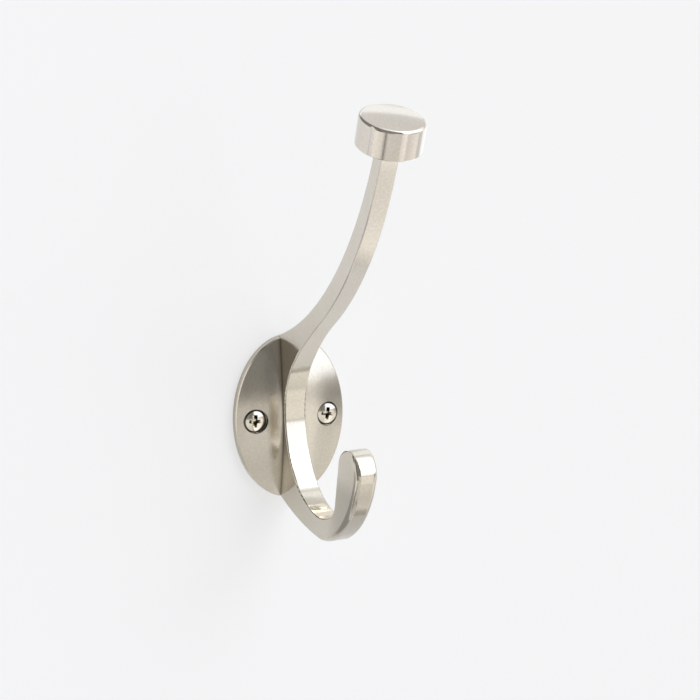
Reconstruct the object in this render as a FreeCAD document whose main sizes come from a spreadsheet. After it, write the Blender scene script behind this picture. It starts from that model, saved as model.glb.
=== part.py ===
import FreeCAD, Part
import math
import os
import Sketcher

# Double robe hook: a zinc die casting with a domed oval backplate, a tall arm that ends in a
# round knob, and a J hook below it, held to the wall by two countersunk cross-recessed screws.
# Origin at the centre of the backplate's back face. +Z is up and the wall lies towards +Y, so
# the hook stands out towards -Y. The casting is the same on both sides of X = 0.

document = FreeCAD.newDocument("robe_hook")

# Driving sizes, in millimetres and degrees

SIZES = {
    "plate_width": 36.2,
    "plate_height": 52.0,
    "plate_edge_thickness": 2.5,
    "plate_dome_rise": 3.0,
    "plate_dome_flatness": 2.5,
    "plate_edge_break": 0.3,
    "core_rim_width": 2.4,
    "core_depth": 1.4,
    "core_boss_radius": 4.6,
    "root_embed": 0.8,
    "web_front": 6.8,
    "throat_height": 2.1,
    "throat_radius": 26.0,
    "web_rise_turn": 43.5,
    "arm_root_radius": 100.0,
    "arm_root_turn": 13.3,
    "arm_front_radius": 112.0,
    "arm_front_turn": 38.0,
    "arm_back_radius": 120.0,
    "neck_thickness": 4.3,
    "throat_turn": 70.3,
    "bowl_radius": 21.5,
    "bowl_turn": 49.2,
    "heel_radius": 7.1,
    "heel_turn": 48.9,
    "tongue_length": 13.8,
    "tip_radius": 6.5,
    "tip_turn": 185.0,
    "tongue_outer_radius": 37.2,
    "tongue_outer_turn": 43.7,
    "belly_radius": 20.5,
    "belly_turn": 29.7,
    "underside_radius": 104.0,
    "neck_width": 5.7,
    "flare_top_height": 38.0,
    "flare_foot_height": 12.0,
    "web_width": 7.0,
    "strap_trim": 5.0,
    "edge_radius": 0.45,
    "tongue_edge_radius": 1.6,
    "knob_diameter": 18.4,
    "knob_height": 8.7,
    "knob_crown_rise": 0.6,
    "knob_edge_radius": 0.8,
    "knob_edge_break": 0.4,
    "knob_embed": 1.65,
    "knob_lean": 19.8,
    "screw_spacing": 24.2,
    "screw_hole_diameter": 4.2,
    "countersink_diameter": 7.6,
    "countersink_angle": 82.0,
    "countersink_drop": 0.5,
    "screw_seat_clearance": 0.1,
    "screw_head_diameter": 6.9,
    "screw_head_land": 0.2,
    "screw_crown_rise": 0.45,
    "screw_crown_diameter": 4.4,
    "screw_neck_diameter": 2.9,
    "screw_thread_diameter": 3.5,
    "screw_length": 25.4,
    "screw_point_length": 4.0,
    "recess_span": 4.1,
    "recess_wing_width": 1.15,
    "recess_depth": 1.8,
    "recess_floor_span": 1.6,
    "recess_floor_wing_width": 0.6,
    "left_screw_turn": 5.0,
    "right_screw_turn": 9.0,
}

sheet = document.addObject("Spreadsheet::Sheet", "sizes")
for row, (alias, number) in enumerate(SIZES.items(), start=1):
    sheet.set(f"A{row}", alias)
    sheet.set(f"B{row}", str(number))
    sheet.setAlias(f"B{row}", alias)
document.recompute()


# Bodies, sketches and their dimensions

START, END, CENTRE = range(1, 4)
SKETCH_ORIGIN = (-1, START)
HORIZONTAL_AXIS, VERTICAL_AXIS = -1, -2
CLOSE = 0.01


def value_of(expression):
    return float(sheet.evalExpression(expression))


def new_body(name):
    body = document.addObject("PartDesign::Body", name)
    body.Label = name
    return body


def origin_plane(body, role):
    return next(feature for feature in body.Origin.OriginFeatures if feature.Role == role)


def sketch_on(body, role, name, offset=None):
    sketch = body.newObject("Sketcher::SketchObject", name)
    sketch.AttachmentSupport = (origin_plane(body, role), [""])
    sketch.MapMode = "FlatFace"
    if offset:
        sketch.setExpression("AttachmentOffset.Base.z", offset)
    return sketch


def flat(across, up):
    return FreeCAD.Vector(across, up, 0)


def tie(sketch, kind, *places):
    sketch.addConstraint(Sketcher.Constraint(kind, *places))


def dimension(sketch, kind, places, expression):
    number = float(sketch.evalExpression(expression))
    if kind == "Angle":
        number = math.radians(number)
        expression = f"({expression}) * 1 deg"
    index = sketch.addConstraint(Sketcher.Constraint(kind, *places, number))
    sketch.setExpression(f"Constraints[{index}]", expression)


def place_at(sketch, geometry, corner, across, up):
    if across == "0":
        tie(sketch, "PointOnObject", geometry, corner, VERTICAL_AXIS)
    else:
        dimension(sketch, "DistanceX", (*SKETCH_ORIGIN, geometry, corner), across)
    if up == "0":
        tie(sketch, "PointOnObject", geometry, corner, HORIZONTAL_AXIS)
    else:
        dimension(sketch, "DistanceY", (*SKETCH_ORIGIN, geometry, corner), up)


def read_back(sketch, kind, places, name):
    index = sketch.addConstraint(Sketcher.Constraint(kind, *places, 1.0))
    sketch.setDriving(index, False)
    sketch.renameConstraint(index, name)
    return f"({sketch.Name}.Constraints.{name} / 1 mm)"


def corners_of(sketch, corners):
    return [flat(*(sketch.evalExpression(part) for part in corner)) for corner in corners]


def draw_lines(sketch, corners, closed):
    places = corners_of(sketch, corners)
    following = places[1:] + places[:1] if closed else places[1:]
    lines = [
        sketch.addGeometry(Part.LineSegment(here, there), False)
        for here, there in zip(places, following)
    ]
    for line, after in zip(lines, lines[1:]):
        tie(sketch, "Coincident", line, END, after, START)
    if closed:
        tie(sketch, "Coincident", lines[-1], END, lines[0], START)
    for line, corner in zip(lines, corners):
        place_at(sketch, line, START, *corner)
    return lines


LEFT, RIGHT = 1, -1


class Outline:
    """Draws lines and arcs one after another, each tangent to the last one."""

    def __init__(self, sketch, place, heading):
        self.sketch = sketch
        self.place = place
        self.heading = math.radians(heading)
        self.last = None

    def join(self, geometry, first, last):
        index = self.sketch.addGeometry(geometry, False)
        if self.last:
            tie(self.sketch, "Tangent", *self.last, index, first)
        self.last = (index, last)
        return index

    def line(self, length):
        step = flat(length * math.cos(self.heading), length * math.sin(self.heading))
        start, self.place = self.place, self.place + step
        return self.join(Part.LineSegment(start, self.place), START, END)

    def arc(self, radius, turn, side):
        turn = math.radians(turn)
        towards = self.heading + side * math.pi / 2
        centre = self.place + flat(radius * math.cos(towards), radius * math.sin(towards))
        begin = towards + math.pi
        finish = begin + side * turn
        circle = Part.Circle(centre, FreeCAD.Vector(0, 0, 1), radius)
        self.place = centre + flat(radius * math.cos(finish), radius * math.sin(finish))
        self.heading += side * turn
        if side == LEFT:
            return self.join(Part.ArcOfCircle(circle, begin, finish), START, END)
        return self.join(Part.ArcOfCircle(circle, finish, begin), END, START)

    def sized_arc(self, name, side, turn_name=None):
        turn_name = turn_name or f"{name}_turn"
        index = self.arc(SIZES[f"{name}_radius"], SIZES[turn_name], side)
        dimension(self.sketch, "Radius", (index,), f"sizes.{name}_radius")
        dimension(self.sketch, "Angle", (index,), f"sizes.{turn_name}")
        return index


# Side profile of the strap: arm, web and J hook in one outline, drawn both ways from the
# web's foremost point, where it runs straight up

profile_body = new_body("strap_side_form")
profile = sketch_on(profile_body, "YZ_Plane", "strap_side_outline")
web_front = flat(-SIZES["web_front"], SIZES["throat_height"])

climb = Outline(profile, web_front, 90)
web_arc = climb.sized_arc("throat", LEFT, "web_rise_turn")
climb.sized_arc("arm_root", LEFT)
climb.sized_arc("arm_front", RIGHT)

fall = Outline(profile, web_front, -90)
throat_arc = fall.sized_arc("throat", RIGHT)
fall.sized_arc("bowl", RIGHT)
fall.sized_arc("heel", RIGHT)
tongue_line = fall.line(SIZES["tongue_length"])
dimension(profile, "Distance", (tongue_line,), "sizes.tongue_length")
fall.sized_arc("tip", LEFT)
outer_arc = fall.sized_arc("tongue_outer", LEFT)
belly_arc = fall.sized_arc("belly", LEFT)

# The underside runs on until it meets the plate, so its turn is only a first try
FIRST_TRY_TURN = 15.0
under_arc = fall.arc(SIZES["underside_radius"], FIRST_TRY_TURN, LEFT)
dimension(profile, "Radius", (under_arc,), "sizes.underside_radius")

tie(profile, "Tangent", web_arc, START, throat_arc, END)
tie(profile, "Horizontal", web_arc, START, web_arc, CENTRE)
place_at(profile, web_arc, START, "-sizes.web_front", "sizes.throat_height")

# The neck is square across the arm's end, and the arm's back runs to the plate's top edge
across = climb.heading - math.pi / 2
neck = SIZES["neck_thickness"]
neck_back = climb.place + flat(neck * math.cos(across), neck * math.sin(across))
neck_line = profile.addGeometry(Part.LineSegment(climb.place, neck_back), False)
tie(profile, "Perpendicular", *climb.last, neck_line, START)
dimension(profile, "Distance", (neck_line,), "sizes.neck_thickness")

root = flat(-SIZES["root_embed"], SIZES["plate_height"] / 2)
chord = root - neck_back
back_radius = SIZES["arm_back_radius"]
bulge = back_radius - math.sqrt(back_radius ** 2 - (chord.Length / 2) ** 2)
middle = (neck_back + root) / 2 + flat(chord.y, -chord.x).normalize() * bulge
back_arc = profile.addGeometry(Part.Arc(neck_back, middle, root), False)
tie(profile, "Coincident", neck_line, END, back_arc, START)
dimension(profile, "Radius", (back_arc,), "sizes.arm_back_radius")

root_line = profile.addGeometry(Part.LineSegment(root, fall.place), False)
tie(profile, "Coincident", back_arc, END, root_line, START)
tie(profile, "Coincident", root_line, END, *fall.last)
tie(profile, "Vertical", root_line)
place_at(profile, root_line, START, "-sizes.root_embed", "sizes.plate_height / 2")

neck_front_across = read_back(
    profile, "DistanceX", (*SKETCH_ORIGIN, neck_line, START), "neck_front_across")
neck_back_across = read_back(
    profile, "DistanceX", (*SKETCH_ORIGIN, neck_line, END), "neck_back_across")
neck_front_up = read_back(
    profile, "DistanceY", (*SKETCH_ORIGIN, neck_line, START), "neck_front_up")
neck_back_up = read_back(
    profile, "DistanceY", (*SKETCH_ORIGIN, neck_line, END), "neck_back_up")
lowest_up = read_back(
    profile, "DistanceY", (*SKETCH_ORIGIN, belly_arc, END), "lowest_up")
document.recompute()

side_form = profile_body.newObject("PartDesign::Pad", "strap_side_pad")
side_form.Profile = profile
side_form.SideType = "Symmetric"
side_form.setExpression("Length", "sizes.web_width + 2 * sizes.strap_trim")

# Front outline of the strap: a narrow neck, an S-shaped flare below it, and straight sides
# from there down to the lowest point of the hook

front_body = new_body("strap_front_form")
flanks = sketch_on(front_body, "XZ_Plane", "strap_front_outline")
STRAP_TOP = f"{neck_back_up} + sizes.strap_trim"
STRAP_FOOT = f"{lowest_up} - sizes.strap_trim"


def draw_flank(side):
    sign = "" if side == LEFT else "-"
    levels = (
        (f"{sign}sizes.neck_width / 2", STRAP_TOP),
        (f"{sign}sizes.neck_width / 2", "sizes.flare_top_height"),
        (f"{sign}sizes.web_width / 2", "sizes.flare_foot_height"),
        (f"{sign}sizes.web_width / 2", STRAP_FOOT),
    )
    top, flare_top, flare_foot, foot = corners_of(flanks, levels)
    flare = flare_foot - flare_top
    flare_radius = flare.Length ** 2 / 4 / abs(flare.x)
    flare_turn = 2 * math.degrees(math.atan2(abs(flare.x), abs(flare.y)))
    pen = Outline(flanks, top, -90)
    neck_side = pen.line(top.y - flare_top.y)
    upper = pen.arc(flare_radius, flare_turn, side)
    lower = pen.arc(flare_radius, flare_turn, -side)
    web_side = pen.line(flare_foot.y - foot.y)
    tie(flanks, "Vertical", neck_side)
    tie(flanks, "Equal", upper, lower)
    tie(flanks, "Vertical", web_side)
    place_at(flanks, neck_side, START, *levels[0])
    dimension(flanks, "DistanceY", (*SKETCH_ORIGIN, neck_side, END), levels[1][1])
    place_at(flanks, web_side, START, *levels[2])
    dimension(flanks, "DistanceY", (*SKETCH_ORIGIN, web_side, END), levels[3][1])
    return neck_side, web_side


right_neck, right_web = draw_flank(LEFT)
left_neck, left_web = draw_flank(RIGHT)
for right, left, corner in ((right_neck, left_neck, START), (right_web, left_web, END)):
    ends = [flanks.getPoint(line, corner) for line in (right, left)]
    bridge = flanks.addGeometry(Part.LineSegment(*ends), False)
    tie(flanks, "Coincident", right, corner, bridge, START)
    tie(flanks, "Coincident", left, corner, bridge, END)
document.recompute()

front_form = front_body.newObject("PartDesign::Pad", "strap_front_pad")
front_form.Profile = flanks
front_form.SideType = "Symmetric"
front_form.setExpression("Length", f"2 * (sizes.strap_trim - {neck_front_across})")
document.recompute()

rough_strap = document.addObject("Part::Common", "rough_strap")
rough_strap.Base = profile_body
rough_strap.Tool = front_body
rough_strap.Refine = True
document.recompute()


# The strap's long edges are rounded: lightly all along, and more on the outside of the tongue

def middle_of(edge):
    return edge.valueAt((edge.FirstParameter + edge.LastParameter) / 2)


def distance_to(index, place):
    in_profile = profile.getGlobalPlacement().inverse().multVec(
        FreeCAD.Vector(0, place.y, place.z))
    return profile.Geometry[index].toShape().distToShape(Part.Vertex(in_profile))[0]


def is_long_edge(edge):
    first, last = edge.Vertexes[0].Point, edge.Vertexes[-1].Point
    middle = middle_of(edge)
    crosses = abs(first.x + last.x) < CLOSE
    at_an_end = min(distance_to(index, middle) for index in (neck_line, root_line)) < CLOSE
    on_outline = min(distance_to(k, middle) for k in range(len(profile.Geometry))) < CLOSE
    return on_outline and not crosses and not at_an_end


def radius_at(vertex):
    outside = distance_to(outer_arc, vertex.Point) < CLOSE
    return SIZES["tongue_edge_radius"] if outside else SIZES["edge_radius"]


strap = document.addObject("Part::Fillet", "strap")
strap.Base = rough_strap
strap.Edges = [
    (k, *(radius_at(vertex) for vertex in edge.Vertexes))
    for k, edge in enumerate(rough_strap.Shape.Edges, start=1)
    if is_long_edge(edge)
]

# Oval backplate: its dome is the cap of an ellipsoid, cut where its outline is the plate's own

PLATE_THICKNESS = "(sizes.plate_edge_thickness + sizes.plate_dome_rise)"
CAP_SHARE = "sqrt(1 - 1 / sizes.plate_dome_flatness ^ 2)"
DOME_DEPTH = f"(sizes.plate_dome_rise / (1 - {CAP_SHARE}))"


def oval_sketch(body, name, height, width):
    sketch = sketch_on(body, "XZ_Plane", name)
    tall, wide = value_of(height) / 2, value_of(width) / 2
    oval = sketch.addGeometry(Part.Ellipse(flat(0, tall), flat(wide, 0), flat(0, 0)), False)
    sketch.exposeInternalGeometry(oval)
    long_axis, short_axis = oval + 1, oval + 2
    tie(sketch, "Coincident", oval, CENTRE, *SKETCH_ORIGIN)
    tie(sketch, "Vertical", long_axis)
    dimension(sketch, "Distance", (long_axis,), height)
    dimension(sketch, "Distance", (short_axis,), width)
    return sketch


plate_body = new_body("plate_blank")
plate_pad = plate_body.newObject("PartDesign::Pad", "plate_pad")
plate_pad.Profile = oval_sketch(
    plate_body, "plate_outline", "sizes.plate_height", "sizes.plate_width")
plate_pad.setExpression("Length", f"2 * {PLATE_THICKNESS}")

dome_form = document.addObject("Part::Ellipsoid", "dome_form")
dome_form.setExpression("Radius1", "sizes.plate_dome_flatness * sizes.plate_height / 2")
dome_form.setExpression("Radius2", "sizes.plate_dome_flatness * sizes.plate_width / 2")
dome_form.setExpression("Radius3", DOME_DEPTH)
dome_form.setExpression("Placement.Base.y", f"{DOME_DEPTH} - {PLATE_THICKNESS}")

domed_plate = document.addObject("Part::Common", "domed_plate")
domed_plate.Base = plate_body
domed_plate.Tool = dome_form
document.recompute()

eased_plate = document.addObject("Part::Chamfer", "eased_plate")
eased_plate.Base = domed_plate
eased_plate.Edges = [
    (k, SIZES["plate_edge_break"], SIZES["plate_edge_break"])
    for k, edge in enumerate(domed_plate.Shape.Edges, start=1)
    if abs(middle_of(edge).y + SIZES["plate_edge_thickness"]) < CLOSE
]


# Turned forms start as half a section on the sketch's upright axis

def turn(body, sketch, name):
    blank = body.newObject("PartDesign::Revolution", name)
    blank.Profile = sketch
    blank.ReferenceAxis = (sketch, ["V_Axis"])
    blank.Angle = 360
    document.recompute()
    return blank


# Round knob on a leaning axis at the arm's end, which runs a little way into it. Its top is a
# low crown with a rounded rim, and its underside has a small chamfer.

KNOB_WALL = "sizes.knob_diameter / 2"
LEAN = "sizes.knob_lean * 1 deg"
NECK_ACROSS = f"({neck_front_across} + {neck_back_across}) / 2"
NECK_UP = f"({neck_front_up} + {neck_back_up}) / 2"

knob_body = new_body("knob_form")
knob_profile = sketch_on(knob_body, "XZ_Plane", "knob_profile")
draw_lines(knob_profile, (
    ("0", "0"),
    (f"{KNOB_WALL} - sizes.knob_edge_break", "0"),
    (KNOB_WALL, "sizes.knob_edge_break"),
    (KNOB_WALL, "sizes.knob_height + 2 * sizes.knob_crown_rise"),
    ("0", "sizes.knob_height + 2 * sizes.knob_crown_rise"),
), closed=True)
turn(knob_body, knob_profile, "knob_turned")

# The crown's ball lies with its poles to the sides, away from the knob's top
BALL = f"(({KNOB_WALL}) ^ 2 + sizes.knob_crown_rise ^ 2) / (2 * sizes.knob_crown_rise)"
crown_ball = document.addObject("Part::Sphere", "crown_ball")
crown_ball.setExpression("Radius", BALL)
crown_ball.setExpression(
    "Placement.Base.z", f"sizes.knob_height + sizes.knob_crown_rise - {BALL}")
crown_ball.Placement.Rotation = FreeCAD.Rotation(
    FreeCAD.Vector(0, 0, -1), FreeCAD.Vector(-1, 0, 0), FreeCAD.Vector(0, 1, 0), "ZXY")

crowned_knob = document.addObject("Part::Common", "crowned_knob")
crowned_knob.Base = knob_body
crowned_knob.Tool = crown_ball
document.recompute()

knob = document.addObject("Part::Fillet", "knob")
knob.Base = crowned_knob
knob.Edges = [
    (k, SIZES["knob_edge_radius"], SIZES["knob_edge_radius"])
    for k, edge in enumerate(crowned_knob.Shape.Edges, start=1)
    if edge.BoundBox.ZMin > SIZES["knob_height"] - CLOSE and edge.Length > CLOSE
]
knob.Placement.Rotation = FreeCAD.Rotation(FreeCAD.Vector(1, 0, 0), SIZES["knob_lean"])
knob.setExpression("Placement.Rotation.Angle", LEAN)
knob.setExpression("Placement.Base.y", f"{NECK_ACROSS} + sizes.knob_embed * sin({LEAN})")
knob.setExpression("Placement.Base.z", f"{NECK_UP} - sizes.knob_embed * cos({LEAN})")

raw_casting = document.addObject("Part::MultiFuse", "raw_casting")
raw_casting.Shapes = [eased_plate, strap, knob]
raw_casting.Refine = True
document.recompute()

# The casting's back is cored out inside a rim, with a boss left at each screw

casting = new_body("hook_casting")
casting.BaseFeature = raw_casting
core = casting.newObject("PartDesign::Pocket", "core")
core.Profile = oval_sketch(
    casting,
    "core_outline",
    "sizes.plate_height - 2 * sizes.core_rim_width",
    "sizes.plate_width - 2 * sizes.core_rim_width",
)
core.Reversed = True
core.setExpression("Length", "sizes.core_depth")
document.recompute()

HOLE_AXIS = "sizes.screw_spacing / 2"
boss_outline = sketch_on(casting, "XZ_Plane", "boss_outline")
for sign in ("", "-"):
    centre = corners_of(boss_outline, [(f"{sign}{HOLE_AXIS}", "0")])[0]
    circle = Part.Circle(centre, FreeCAD.Vector(0, 0, 1), SIZES["core_boss_radius"])
    boss = boss_outline.addGeometry(circle, False)
    place_at(boss_outline, boss, CENTRE, f"{sign}{HOLE_AXIS}", "0")
    dimension(boss_outline, "Radius", (boss,), "sizes.core_boss_radius")
bosses = casting.newObject("PartDesign::Pad", "bosses")
bosses.Profile = boss_outline
bosses.setExpression("Length", "sizes.core_depth")
document.recompute()

# Screw holes: on its axis each countersink starts a little below the dome. Depths are counted
# from the back face.

DOME_SHARE = "(sizes.screw_spacing / (sizes.plate_dome_flatness * sizes.plate_width))"
SURFACE = f"({PLATE_THICKNESS} - {DOME_DEPTH} * (1 - sqrt(1 - {DOME_SHARE} ^ 2)))"
RIM = f"({SURFACE} - sizes.countersink_drop)"
SLOPE = "tan(sizes.countersink_angle / 2 * 1 deg)"
CONE_RUN = f"((sizes.countersink_diameter - sizes.screw_hole_diameter) / 2 / {SLOPE})"
HOLE_WALL = f"{HOLE_AXIS} + sizes.screw_hole_diameter / 2"
RIM_WALL = f"{HOLE_AXIS} + sizes.countersink_diameter / 2"

hole_profile = sketch_on(casting, "XY_Plane", "hole_profile")
draw_lines(hole_profile, (
    (HOLE_AXIS, "sizes.plate_edge_thickness"),
    (HOLE_WALL, "sizes.plate_edge_thickness"),
    (HOLE_WALL, f"-({RIM} - {CONE_RUN})"),
    (RIM_WALL, f"-{RIM}"),
    (RIM_WALL, f"-2 * {PLATE_THICKNESS}"),
    (HOLE_AXIS, f"-2 * {PLATE_THICKNESS}"),
), closed=True)
axis_foot, axis_head = corners_of(
    hole_profile, [(HOLE_AXIS, "0"), (HOLE_AXIS, "sizes.plate_edge_thickness")])
hole_axis = hole_profile.addGeometry(Part.LineSegment(axis_foot, axis_head), True)
place_at(hole_profile, hole_axis, START, HOLE_AXIS, "0")
tie(hole_profile, "Vertical", hole_axis)
dimension(hole_profile, "Distance", (hole_axis,), "sizes.plate_edge_thickness")

hole = casting.newObject("PartDesign::Groove", "screw_hole")
hole.Profile = hole_profile
hole.ReferenceAxis = (hole_profile, ["Axis0"])
hole.Angle = 360
document.recompute()

other_hole = casting.newObject("PartDesign::Mirrored", "other_screw_hole")
other_hole.Originals = [hole]
other_hole.MirrorPlane = (origin_plane(casting, "YZ_Plane"), [""])
casting.Tip = other_hole
document.recompute()

# Two raised countersunk screws with a cross recess in a flat-topped head, each seated in its
# countersink. The plain neck passes through the plate, and the threaded length starts where
# the wall does.

HEAD_TAPER = f"((sizes.countersink_diameter - sizes.screw_head_diameter) / 2 / {SLOPE})"
HEAD_EDGE = f"({RIM} - {HEAD_TAPER} + sizes.screw_seat_clearance)"
HEAD_RIM = f"({HEAD_EDGE} + sizes.screw_head_land)"
HEAD_TOP = f"({HEAD_RIM} + sizes.screw_crown_rise)"
HEAD_RUN = f"((sizes.screw_head_diameter - sizes.screw_neck_diameter) / 2 / {SLOPE})"
HEAD_WALL = "sizes.screw_head_diameter / 2"
CROWN_WALL = "sizes.screw_crown_diameter / 2"
NECK_WALL = "sizes.screw_neck_diameter / 2"
THREAD_WALL = "sizes.screw_thread_diameter / 2"
SCREW_TIP = f"(sizes.screw_length - {HEAD_TOP})"


def cross_corners(name):
    far, near = f"sizes.{name}_span / 2", f"sizes.{name}_wing_width / 2"
    quarter = ((far, near), (near, near), (near, far))
    return (
        quarter
        + tuple((f"-{x}", z) for x, z in reversed(quarter))
        + tuple((f"-{x}", f"-{z}") for x, z in quarter)
        + tuple((x, f"-{z}") for x, z in reversed(quarter))
    )


def make_screw(side, sign):
    body = new_body(f"{side}_screw")
    outline = sketch_on(body, "XY_Plane", f"{side}_screw_profile")
    draw_lines(outline, (
        ("0", SCREW_TIP),
        (THREAD_WALL, f"{SCREW_TIP} - sizes.screw_point_length"),
        (THREAD_WALL, "0"),
        (NECK_WALL, "0"),
        (NECK_WALL, f"-({HEAD_EDGE} - {HEAD_RUN})"),
        (HEAD_WALL, f"-{HEAD_EDGE}"),
        (HEAD_WALL, f"-{HEAD_RIM}"),
        (CROWN_WALL, f"-{HEAD_TOP}"),
        ("0", f"-{HEAD_TOP}"),
    ), closed=True)
    turn(body, outline, f"{side}_screw_blank")
    mouth = sketch_on(body, "XZ_Plane", f"{side}_recess_mouth", HEAD_TOP)
    draw_lines(mouth, cross_corners("recess"), closed=True)
    bottom = f"{HEAD_TOP} - sizes.recess_depth"
    floor = sketch_on(body, "XZ_Plane", f"{side}_recess_floor", bottom)
    draw_lines(floor, cross_corners("recess_floor"), closed=True)
    recess = body.newObject("PartDesign::SubtractiveLoft", f"{side}_cross_recess")
    recess.Profile = mouth
    recess.Sections = [floor]
    recess.Ruled = True
    turned = FreeCAD.Rotation(FreeCAD.Vector(0, 1, 0), SIZES[f"{side}_screw_turn"])
    body.Placement.Rotation = turned
    body.setExpression("Placement.Rotation.Angle", f"sizes.{side}_screw_turn * 1 deg")
    body.setExpression("Placement.Base.x", f"{sign}{HOLE_AXIS}")
    document.recompute()
    return body


screws = document.addObject("Part::Compound", "mounting_screws")
screws.Label = "mounting_screws"
screws.Links = [make_screw("left", "-"), make_screw("right", "")]
document.recompute()

# Every object and every cut is checked before the pieces are written

for item in document.Objects:
    if "Invalid" in item.State or "Error" in item.State:
        raise RuntimeError(f"{item.Name} failed: {item.State}")

steps = (raw_casting, core, bosses, hole, other_hole)
volumes = [step.Shape.Volume for step in steps]
if not (volumes[0] > volumes[1] < volumes[2] > volumes[3] > volumes[4]):
    raise RuntimeError(f"a cut or a boss changed nothing: {volumes}")

os.makedirs("parts", exist_ok=True)
for piece, count in ((casting, 1), (screws, 2)):
    shape = piece.Shape
    if shape.isNull() or not shape.isValid() or len(shape.Solids) != count:
        raise RuntimeError(f"{piece.Label} isn't {count} valid solid(s)")
    shape.exportStep(f"parts/{piece.Label}.step")
    print(piece.Label, count, "solid(s),", round(shape.Volume, 1), "mm3")

print("gap at the screws' seats", round(casting.Shape.distToShape(screws.Shape)[0], 3), "mm")
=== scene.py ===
import math

import bmesh
import bpy
from mathutils import Matrix, Vector


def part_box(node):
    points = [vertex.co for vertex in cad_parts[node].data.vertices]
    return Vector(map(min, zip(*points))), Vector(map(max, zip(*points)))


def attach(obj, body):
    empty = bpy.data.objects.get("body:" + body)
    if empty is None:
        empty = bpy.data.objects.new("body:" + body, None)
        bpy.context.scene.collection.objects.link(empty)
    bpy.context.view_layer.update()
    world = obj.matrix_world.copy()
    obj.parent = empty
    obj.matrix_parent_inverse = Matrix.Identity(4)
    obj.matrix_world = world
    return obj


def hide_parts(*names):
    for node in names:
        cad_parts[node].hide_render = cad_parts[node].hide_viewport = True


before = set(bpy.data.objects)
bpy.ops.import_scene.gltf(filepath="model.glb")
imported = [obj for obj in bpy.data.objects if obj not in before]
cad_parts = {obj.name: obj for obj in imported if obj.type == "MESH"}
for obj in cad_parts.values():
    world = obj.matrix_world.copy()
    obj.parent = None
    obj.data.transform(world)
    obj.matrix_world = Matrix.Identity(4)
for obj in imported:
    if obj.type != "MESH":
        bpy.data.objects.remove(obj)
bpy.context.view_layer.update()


# The wall: a plain pale board that the hook hangs on, seen from the room only. It isn't part
# of the object, and keeps the hook's soft shadow. Its painted zones of shade and glow stand for
# dark and bright panels held near the hook, and show only in what the nickel mirrors, as painted
# reflections.

class Socket:
    """A value in a material's graph. Sums, differences and products add Math nodes."""

    def __init__(self, finish, link):
        self.finish = finish
        self.link = link

    def __add__(self, other):
        return self.finish.maths("ADD", self, other)

    def __radd__(self, other):
        return self.finish.maths("ADD", other, self)

    def __sub__(self, other):
        return self.finish.maths("SUBTRACT", self, other)

    def __rsub__(self, other):
        return self.finish.maths("SUBTRACT", other, self)

    def __mul__(self, other):
        return self.finish.maths("MULTIPLY", self, other)

    def __rmul__(self, other):
        return self.finish.maths("MULTIPLY", other, self)

    def rise(self, low, high):
        """0 below low and 1 above high, with a smooth rise from one to the other."""
        return self.finish.node(
            "ShaderNodeMapRange", {"interpolation_type": "SMOOTHSTEP"},
            {"Value": self, "From Min": low, "From Max": high})

    def fall(self, low, high):
        """1 below low and 0 above high, with a smooth fall from one to the other."""
        return 1 - self.rise(low, high)

    def inside(self, low, high, soft):
        """1 from low to high and 0 outside, with edges as wide as twice soft."""
        return self.rise(low - soft, low + soft) * self.fall(high - soft, high + soft)


class Finish:
    """A material or a world, as a graph of nodes."""

    def __init__(self, owner):
        owner.use_nodes = True
        self.owner = owner
        self.tree = owner.node_tree
        self.tree.nodes.clear()

    def node(self, kind, settings=None, values=None, output=0):
        """Add a node, make its settings, then set or link its inputs, and give one output."""
        made = self.tree.nodes.new(kind)
        for name, setting in (settings or {}).items():
            setattr(made, name, setting)
        for place, value in (values or {}).items():
            if isinstance(value, Socket):
                self.tree.links.new(value.link, made.inputs[place])
            else:
                made.inputs[place].default_value = value
        return Socket(self, made.outputs[output]) if made.outputs else made

    def maths(self, operation, *values):
        return self.node("ShaderNodeMath", {"operation": operation}, dict(enumerate(values)))

    def blend(self, share, first, second):
        """A colour that turns from the first into the second as share goes from 0 to 1."""
        return self.node(
            "ShaderNodeMix", {"data_type": "RGBA"}, {0: share, 6: first, 7: second}, output=2)

    def layer(self, share, under, over):
        """A shader that turns from under into over as share goes from 0 to 1."""
        return self.node("ShaderNodeMixShader", values={0: share, 1: under, 2: over})

    def parts_of(self, vector):
        """The X, Y and Z of a vector, as three values."""
        first = self.node("ShaderNodeSeparateXYZ", values={"Vector": vector})
        return [Socket(self, output) for output in first.link.node.outputs]

    def end(self, kind, surface):
        self.node(kind, values={"Surface": surface})
        return self.owner


def new_finish(name):
    return Finish(bpy.data.materials.new(name))


def new_piece(name, mesh, finish, smooth=True):
    mesh.materials.append(finish)
    mesh.polygons.foreach_set("use_smooth", [smooth] * len(mesh.polygons))
    piece = bpy.data.objects.new(name, mesh)
    bpy.context.scene.collection.objects.link(piece)
    return piece


WALL_REACH = 6.0
WALL_BEHIND = 0.0001
WALL_COLOUR = (0.93, 0.93, 0.925, 1)
WALL_ROUGHNESS = 0.5
WHITE_SEEN = 0.6
WHITE_MIRRORED = 0.35

SHADE_COLOUR = (0.12, 0.11, 0.10, 1)
SHADE_DEPTH = 0.85
HIGH_SHADE_RIGHT = (-0.02, 0.0)
HIGH_SHADE_FOOT = (0.128, 0.142)
LOW_SHADE_SHARE = 0.75
LOW_SHADE_LEFT = (-0.5, -0.2)
LOW_SHADE_RIGHT = (-0.042, -0.020)
LOW_SHADE_TOP = (-0.036, -0.010)

PAINTED_GLOW_COLOUR = (0.82, 0.90, 1.0, 1)
BAND_GLOW = 0.75
BAND_ACROSS = (-0.02, 0.16, 0.012)
BAND_UP = (0.149, 0.173, 0.004)
HIGH_PANEL_GLOW = 0.7
HIGH_PANEL_LEFT = (-0.02, 0.06)
HIGH_PANEL_FOOT = (0.22, 0.32)
SIDE_PANEL_GLOW = 0.8
SIDE_PANEL_LEFT = (0.02, 0.035)
SIDE_PANEL_UP = (0.02, 0.14, 0.01)


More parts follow.
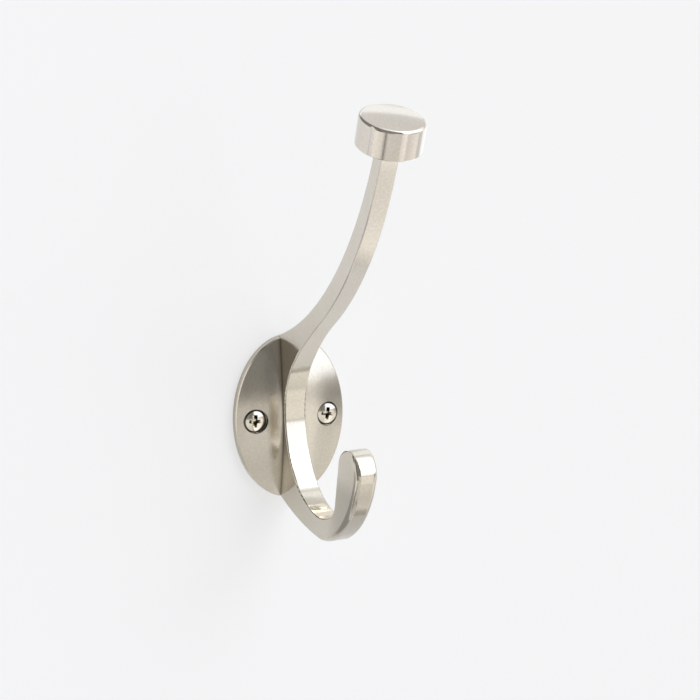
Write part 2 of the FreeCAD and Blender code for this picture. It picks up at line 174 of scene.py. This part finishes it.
def wall_paint():
    paint = new_finish("matt_wall_paint")
    x, y, z = paint.parts_of(paint.node("ShaderNodeTexCoord", output="Object"))
    seen = paint.node("ShaderNodeLightPath", output="Is Camera Ray")
    mirrored = paint.node("ShaderNodeLightPath", output="Is Glossy Ray")

    # Painted shade on the wall, which only the nickel's reflections show.
    high_shade = x.fall(*HIGH_SHADE_RIGHT) * z.rise(*HIGH_SHADE_FOOT)
    low_shade = x.rise(*LOW_SHADE_LEFT) * x.fall(*LOW_SHADE_RIGHT) * z.fall(*LOW_SHADE_TOP)
    shade = (high_shade + low_shade * LOW_SHADE_SHARE) * mirrored * SHADE_DEPTH
    pale, dark = (
        paint.node("ShaderNodeBsdfDiffuse", values={"Color": colour, "Roughness": WALL_ROUGHNESS})
        for colour in (WALL_COLOUR, SHADE_COLOUR))
    board = paint.layer(shade, pale, dark)

    # Painted glow: the wall shines in bands and patches, though it is no lamp, where the camera
    # doesn't see it.
    band = x.inside(*BAND_ACROSS) * z.inside(*BAND_UP)
    high_panel = x.rise(*HIGH_PANEL_LEFT) * z.rise(*HIGH_PANEL_FOOT)
    side_panel = x.rise(*SIDE_PANEL_LEFT) * z.inside(*SIDE_PANEL_UP)
    glow = (1 - seen) * (
        band * BAND_GLOW + high_panel * HIGH_PANEL_GLOW + side_panel * SIDE_PANEL_GLOW)
    unlit = paint.node("ShaderNodeEmission", values={"Strength": 0.0})
    lit = paint.node("ShaderNodeEmission", values={"Color": PAINTED_GLOW_COLOUR})
    painted_glow = paint.layer(glow, unlit, lit)

    white = paint.node("ShaderNodeEmission")
    front = paint.layer(
        seen * WHITE_SEEN + mirrored * (1 - shade) * WHITE_MIRRORED,
        paint.node("ShaderNodeAddShader", values={0: board, 1: painted_glow}), white)
    behind = paint.node("ShaderNodeNewGeometry", output="Backfacing")
    clear = paint.node("ShaderNodeBsdfTransparent")
    return paint.end("ShaderNodeOutputMaterial", paint.layer(behind, front, clear))


wall_mesh = bpy.data.meshes.new("wall")
wall_mesh.from_pydata(
    [(x * WALL_REACH, WALL_BEHIND, z * WALL_REACH)
     for x, z in ((-1, -1), (1, -1), (1, 1), (-1, 1))],
    [], [(0, 1, 2, 3)])
new_piece("wall", wall_mesh, wall_paint(), smooth=False)


# The studio: plain soft light from all round, a large bright softbox to the right, and the
# dimmer side of the room to the left, with the dark gaps between panels that metal shows.
# Headings count from straight out of the wall, to the right, and heights from the level.

ROOM_COLOUR = (1, 0.985, 0.965, 1)
ROOM_GLOW = 0.86
SIDES_GLOW = 0.27
SIDES_FROM = (40, 90)
SOFTBOX_COLOUR = (0.92, 0.97, 1.09, 1)
SOFTBOX_GLOW = 0.95
DEGREES = 180 / math.pi

# A card is given by its left, right, low and high edge and their softness, in degrees. Each
# of the others takes a share of the light away, or adds one where its share is below 0.
SOFTBOX_CARD = (18, 125, -3.5, 120, 2)
CARDS = {
    "left_of_softbox": ((-60, 15.5, -8.0, 52, 2), 0.66),
    "softbox_rim": ((3, 15.5, -6.0, 40, 2.5), 0.30),
    "left_gap": ((-77, -57, -22, 62, 3), 0.75),
    "ceiling_gap": ((-85, 12, 52, 82, 5), 0.60),
    "softbox_sill": ((31, 62, -10, -5, 1.2), 0.35),
    "right_sill": ((44, 75, -16, -5, 4), 0.50),
    "front_reflector": ((17, 40, -45, -3.5, 3), -0.34),
    "left_floor_edge": ((-72, -18, -27, -9, 4), 0.55),
    "softbox_seam": ((19, 31, -7.5, -5.0, 0.8), 0.30),
    "front_floor": ((-22, 24, -43, -26, 5), 0.12),
    "right_reflector": ((34, 200, -70, -40, 5), -0.14),
    "left_floor": ((-57, -42, -54, -34, 4), 0.35),
    "left_floor_seam": ((-51.2, -48, -54, -34, 1), 0.60),
    "far_left_floor": ((-90, -62, -62, -43, 3), 0.65),
    "floor_seam": ((-180, 180, -68.5, -66, 0.8), 0.6),
    "far_left_gap": ((-100, -70, 34, 64, 4), 0.55),
}


def studio():
    world = bpy.data.worlds.new("soft_studio")
    bpy.context.scene.world = world
    air = Finish(world)
    x, y, z = air.parts_of(air.node("ShaderNodeTexCoord", output="Generated"))
    heading = air.maths("ARCTAN2", x, y * -1) * DEGREES
    height = air.maths("ARCSINE", z) * DEGREES

    def card(left, right, low, high, soft):
        return heading.inside(left, right, soft) * height.inside(low, high, soft)

    softbox = card(*SOFTBOX_CARD)
    glow = ROOM_GLOW + air.maths("ABSOLUTE", heading).rise(*SIDES_FROM) * SIDES_GLOW
    glow = glow + softbox * SOFTBOX_GLOW
    for edges, share in CARDS.values():
        glow = glow * (1 - card(*edges) * share)
    light = air.node("ShaderNodeBackground", values={
        "Color": air.blend(softbox, ROOM_COLOUR, SOFTBOX_COLOUR), "Strength": glow})
    plain = air.node("ShaderNodeBackground", values={"Color": WALL_COLOUR})
    seen = air.node("ShaderNodeLightPath", output="Is Camera Ray")
    air.end("ShaderNodeOutputWorld", air.layer(seen, light, plain))


studio()

KEY_PLACE = (0.75, -0.9, 0.95)
KEY_AIM = (0, 0, 0.03)
KEY_SIZE = 0.7
KEY_POWER = 4.0

key_light = bpy.data.lights.new("key_softbox", "AREA")
key_light.shape = "SQUARE"
key_light.size = KEY_SIZE
key_light.energy = KEY_POWER
key = bpy.data.objects.new("key_softbox", key_light)
key.location = KEY_PLACE
key.rotation_euler = (Vector(KEY_AIM) - key.location).to_track_quat("-Z", "Y").to_euler()
bpy.context.scene.collection.objects.link(key)


# The hook: backplate, arm, knob and lower hook in one zinc die casting, polished, plated with
# nickel and brushed to a satin sheen. Two screws through the plate's countersinks fix it to
# the wall. Its shape is the frame's own solid, and only the finish is made here.

MM = 0.001
TO_MM = 1000
HEAD_RADIUS = 3.45
screw_low, screw_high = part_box("mounting_screws")
screw_axis = screw_high[0] - HEAD_RADIUS * MM

NICKEL = (0.645, 0.595, 0.50, 1)
PALE_NICKEL = (0.73, 0.68, 0.61, 1)
# The nickel is paler towards the top: painted light.
PAINTED_LIGHT_UP = (0.01, 0.075)
PAINTED_LIGHT_UP_SHARE = 0.6
PALE_CLOUDS = (0.3, 0.7)
PALE_CLOUDS_SHARE = 0.25
PALE_GRAIN = (0.45, 0.75)
PALE_GRAIN_SHARE = 0.15

BRUSHING_STRETCH = (1.0, 1.0, 0.05)
BRUSHING_SCALE = 3200.0
BRUSHING_DETAIL = 4.0
GRAIN_SCALE = 1500.0
GRAIN_DETAIL = 3.0
CLOUD_SCALE = 70.0

# The darker nickel is painted shade in creases, along edges, in the countersinks and low on the
# tongue; the grain's darker flecks are the plating's own tone.
SHADE_AND_GRAIN_NICKEL = (0.12, 0.105, 0.085, 1)
CREASE_WIDTH = 0.0025
CREASE_OPEN = (0.3, 0.85)
EDGE_WIDTH = 0.0008
EDGE_OPEN = (0.45, 0.75)
EDGE_LEAST = 0.12
SEAT_RADII = (3.65, 3.85)
SEAT_DEPTHS = (-0.0022, -0.0018)
SEAT_SHADE = 0.8
TONGUE_BACK = (-0.048, -0.038)
TONGUE_TOP = (-0.012, -0.005)
TONGUE_SHADE = 0.28
DARK_GRAIN = (0.4, 0.62)
DARK_GRAIN_SHARE = 0.045
NEAR_SAMPLES = 8

POLISH = 0.08
BRUSHED = 0.06
PLATE_FRONT = (-0.008, -0.005)
PLATE_BRUSHED = 0.05
RELIEF = 0.00003
RELIEF_STRENGTH = 0.15
RELIEF_BRUSHING = 0.6


def near(finish, width, inside=False):
    """How open a surface is within a width: low in creases or, from inside, along edges."""
    return finish.node(
        "ShaderNodeAmbientOcclusion",
        {"samples": NEAR_SAMPLES, "inside": inside, "only_local": True},
        {"Distance": width}, output="AO")


def noise(finish, place, scale, detail=2.0):
    return finish.node(
        "ShaderNodeTexNoise", values={"Vector": place, "Scale": scale, "Detail": detail})


def screw_radius(finish, x, z):
    """How far a point is from the nearer screw's axis, in millimetres."""
    across = (finish.maths("ABSOLUTE", x) - screw_axis) * TO_MM
    up = z * TO_MM
    return finish.maths("SQRT", across * across + up * up)


def satin_nickel():
    plating = new_finish("satin_nickel_plating")
    place = plating.node("ShaderNodeTexCoord", output="Object")
    x, y, z = plating.parts_of(place)
    stretched = plating.node(
        "ShaderNodeMapping", values={"Vector": place, "Scale": BRUSHING_STRETCH})
    brushing = noise(plating, stretched, BRUSHING_SCALE, BRUSHING_DETAIL)
    grain = noise(plating, place, GRAIN_SCALE, GRAIN_DETAIL)
    clouds = noise(plating, place, CLOUD_SCALE)

    # Paler towards the top as painted light, and in clouds and grain as the plating's own random
    # tone.
    pale = (z.rise(*PAINTED_LIGHT_UP) * PAINTED_LIGHT_UP_SHARE
            + clouds.rise(*PALE_CLOUDS) * PALE_CLOUDS_SHARE
            + grain.rise(*PALE_GRAIN) * PALE_GRAIN_SHARE)
    nickel = plating.blend(pale, NICKEL, PALE_NICKEL)
    # Painted shade in the creases between parts.
    crease = near(plating, CREASE_WIDTH).rise(*CREASE_OPEN)
    # Painted reflection: dark lines along the edges and roundings.
    edge = near(plating, EDGE_WIDTH, inside=True).rise(*EDGE_OPEN)
    # Painted shade in the countersinks round the screw heads.
    seat = screw_radius(plating, x, z).fall(*SEAT_RADII) * y.fall(*SEAT_DEPTHS)
    # Painted shade low on the tongue of the lower hook, for the darker room it mirrors.
    tongue = y.fall(*TONGUE_BACK) * z.fall(*TONGUE_TOP)
    # The share of plain nickel left by painted shade and by the grain's own darker flecks.
    unshaded_ungrained_share = (crease
             * (EDGE_LEAST + edge * (1 - EDGE_LEAST))
             * (1 - seat * SEAT_SHADE)
             * (1 - tongue * TONGUE_SHADE)
             * ((1 - DARK_GRAIN_SHARE) + grain.rise(*DARK_GRAIN) * DARK_GRAIN_SHARE))

    relief = plating.node("ShaderNodeBump", values={
        "Strength": RELIEF_STRENGTH,
        "Distance": RELIEF,
        "Height": brushing * RELIEF_BRUSHING + grain * (1 - RELIEF_BRUSHING),
    })
    metal = plating.node("ShaderNodeBsdfPrincipled", values={
        "Base Color": plating.blend(unshaded_ungrained_share, SHADE_AND_GRAIN_NICKEL, nickel),
        "Metallic": 1.0,
        "Roughness": POLISH + brushing * BRUSHED + y.rise(*PLATE_FRONT) * PLATE_BRUSHED,
        "Normal": relief,
    })
    return plating.end("ShaderNodeOutputMaterial", metal)


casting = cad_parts["hook_casting"]
casting.data.materials.clear()
casting.data.materials.append(satin_nickel())


# The screws: two wood screws of nickel-plated steel with raised countersunk heads, a cross
# recess and a rolled thread that starts at the wall. They are driven through the plate, and
# each was turned to its own stop.

SHANK_LENGTH = screw_high[1] / MM
HEAD_LAND = 0.2
HEAD_SLOPE = math.radians(41)
CROWN_RISE = 0.45
CROWN_STEPS = 10
RIM_ROUND = 0.12
RIM_STEPS = 4
NECK_RADIUS = 1.45
NECK_END = -0.05
THREAD_RADIUS = 1.75
THREAD_STEPS = 18
CORE_SHARE = 0.72
RIDGE_SHARE = 0.24
PITCH = 1.41
POINT_LENGTH = 4.0
ROUND_STEPS = 48
RECESS_ARMS = 4
RECESS_DEPTH = 1.8
RECESS_MOUTH = (2.15, 0.6)
RECESS_FLOOR = (0.8, 0.3)
RECESS_ABOVE = 0.35
SHARP_ANGLE = math.radians(32)
SCREW_TURNS = {"left": 5.0, "right": 9.0}


def head_profile(top):
    """Radius, and depth from the wall's face, from the crown out to the rim and in to the neck."""
    ball = (HEAD_RADIUS ** 2 + CROWN_RISE ** 2) / (2 * CROWN_RISE)
    reach = HEAD_RADIUS - RIM_ROUND
    crown = [reach * k / CROWN_STEPS for k in range(1, CROWN_STEPS + 1)]
    profile = [(r, top + ball - math.sqrt(ball ** 2 - r ** 2)) for r in crown]
    edge = profile[-1][1]
    for k in range(1, RIM_STEPS + 1):
        angle = math.pi / 2 * k / RIM_STEPS
        profile.append((reach + RIM_ROUND * math.sin(angle),
                        edge + RIM_ROUND * (1 - math.cos(angle))))
    under = top + CROWN_RISE + HEAD_LAND
    profile.append((HEAD_RADIUS, under))
    profile.append((NECK_RADIUS, under + (HEAD_RADIUS - NECK_RADIUS) / math.tan(HEAD_SLOPE)))
    profile.append((NECK_RADIUS, NECK_END))
    return profile


def thread_radius(depth, turn):
    """The thread's radius at a depth in the wall and a share of a turn round the shank."""
    taper = min(1.0, (SHANK_LENGTH - depth) / POINT_LENGTH)
    ridge = max(0.0, 1 - abs((depth / PITCH - turn) % 1 - 0.5) / RIDGE_SHARE)
    start = min(1.0, depth / PITCH)
    share = CORE_SHARE + (1 - CORE_SHARE) * ridge * start
    return THREAD_RADIUS * taper * share


def mesh_of(name, vertices, faces):
    """A mesh of points in millimetres, with its faces turned outward."""
    mesh = bpy.data.meshes.new(name)
    mesh.from_pydata([Vector(vertex) * MM for vertex in vertices], [], faces)
    work = bmesh.new()
    work.from_mesh(mesh)
    bmesh.ops.recalc_face_normals(work, faces=work.faces)
    work.to_mesh(mesh)
    work.free()
    return mesh


def lathe(rings, top, tip):
    """A closed round body of rings of points about the Y axis, with a point at each end."""
    vertices = [(0, top, 0)]
    for depth, radii in rings:
        for k, radius in enumerate(radii):
            angle = 2 * math.pi * k / ROUND_STEPS
            vertices.append((radius * math.cos(angle), depth, radius * math.sin(angle)))
    vertices.append((0, tip, 0))
    end = len(vertices) - 1
    faces = []
    for k in range(ROUND_STEPS):
        after = (k + 1) % ROUND_STEPS
        faces.append((0, 1 + after, 1 + k))
        for ring in range(len(rings) - 1):
            low = 1 + ring * ROUND_STEPS
            high = low + ROUND_STEPS
            faces.append((low + k, low + after, high + after, high + k))
        last = 1 + (len(rings) - 1) * ROUND_STEPS
        faces.append((last + k, last + after, end))
    return mesh_of("blank", vertices, faces)


def cross_punch(top):
    """The tapered cross that is punched into the head."""
    def corners(reach, half):
        quarter = [(reach, -half), (reach, half), (half, half)]
        ring = []
        for k in range(RECESS_ARMS):
            angle = 2 * math.pi * k / RECESS_ARMS
            c, s = math.cos(angle), math.sin(angle)
            ring += [(x * c - z * s, x * s + z * c) for x, z in quarter]
        return ring

    slope = [(a - b) / RECESS_DEPTH for a, b in zip(RECESS_MOUTH, RECESS_FLOOR)]
    outer = [a + s * RECESS_ABOVE for a, s in zip(RECESS_MOUTH, slope)]
    vertices = [(x, top - RECESS_ABOVE, z) for x, z in corners(*outer)]
    vertices += [(x, top + RECESS_DEPTH, z) for x, z in corners(*RECESS_FLOOR)]
    count = len(vertices) // 2
    faces = [tuple(range(count)), tuple(reversed(range(count, 2 * count)))]
    faces += [(k, count + k, count + (k + 1) % count, (k + 1) % count) for k in range(count)]
    return mesh_of("punch", vertices, faces)


def screw_mesh(top):
    rings = [(depth, [radius] * ROUND_STEPS) for radius, depth in head_profile(top)]
    steps = int(SHANK_LENGTH / PITCH * THREAD_STEPS)
    for k in range(steps):
        depth = SHANK_LENGTH * k / steps
        radii = [thread_radius(depth, j / ROUND_STEPS) for j in range(ROUND_STEPS)]
        rings.append((depth, radii))
    blank = bpy.data.objects.new("blank", lathe(rings, top, SHANK_LENGTH))
    punch = bpy.data.objects.new("punch", cross_punch(top))
    for item in (blank, punch):
        bpy.context.scene.collection.objects.link(item)
    cut = blank.modifiers.new("recess", "BOOLEAN")
    cut.operation = "DIFFERENCE"
    cut.solver = "EXACT"
    cut.object = punch
    bpy.context.view_layer.update()
    shown = blank.evaluated_get(bpy.context.evaluated_depsgraph_get())
    mesh = bpy.data.meshes.new_from_object(shown)
    for item in (blank, punch):
        bpy.data.objects.remove(item)
    return mesh


STEEL = (0.82, 0.765, 0.66, 1)
# The darker steel is painted shade in the cross recess and in a ring at the head's rim.
PAINTED_SHADE_STEEL = (0.07, 0.06, 0.045, 1)
RECESS_WIDTH = 0.0014
RECESS_OPEN = (0.2, 0.75)
RIM_RADII = (2.95, 3.3)
STEEL_CLOUD_SCALE = 900.0
STEEL_POLISH = 0.07
STEEL_CLOUDED = 0.06


def polished_steel():
    plating = new_finish("polished_nickel_plating")
    place = plating.node("ShaderNodeTexCoord", output="Object")
    x, y, z = plating.parts_of(place)
    clouds = noise(plating, place, STEEL_CLOUD_SCALE)
    # Painted shade in the cross recess and in a ring round the head's rim.
    recess = near(plating, RECESS_WIDTH).rise(*RECESS_OPEN)
    rim = screw_radius(plating, x, z).fall(*RIM_RADII)
    metal = plating.node("ShaderNodeBsdfPrincipled", values={
        "Base Color": plating.blend(recess * rim, PAINTED_SHADE_STEEL, STEEL),
        "Metallic": 1.0,
        "Roughness": STEEL_POLISH + clouds * STEEL_CLOUDED,
    })
    return plating.end("ShaderNodeOutputMaterial", metal)


screw_steel = polished_steel()
for side, across in (("left", -screw_axis), ("right", screw_axis)):
    mesh = screw_mesh(screw_low[1] / MM)
    turned = Matrix.Rotation(math.radians(SCREW_TURNS[side]), 4, "Y")
    mesh.transform(Matrix.Translation((across, 0, 0)) @ turned)
    screw = new_piece(f"{side}_screw", mesh, screw_steel)
    mesh.set_sharp_from_angle(angle=SHARP_ANGLE)
    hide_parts("mounting_screws")
    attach(screw, "root")


# The camera stands to the left of the hook and a little above it, with a long lens, and looks
# to the right and down. Its place and turn are those of the photograph.

CAMERA_PLACE = (-0.20856, -0.51866, 0.14819)
CAMERA_HEADING = 23.93
CAMERA_TILT = -12.85
LENS = 94.72
SENSOR = 36

camera_data = bpy.data.cameras.new("camera")
camera_data.lens = LENS
camera_data.sensor_width = SENSOR
camera = bpy.data.objects.new("camera", camera_data)
camera.location = CAMERA_PLACE
camera.rotation_euler = (
    math.radians(90 + CAMERA_TILT), 0, -math.radians(CAMERA_HEADING))
bpy.context.scene.collection.objects.link(camera)
bpy.context.scene.camera = camera
bpy.context.scene.view_settings.view_transform = "Standard"
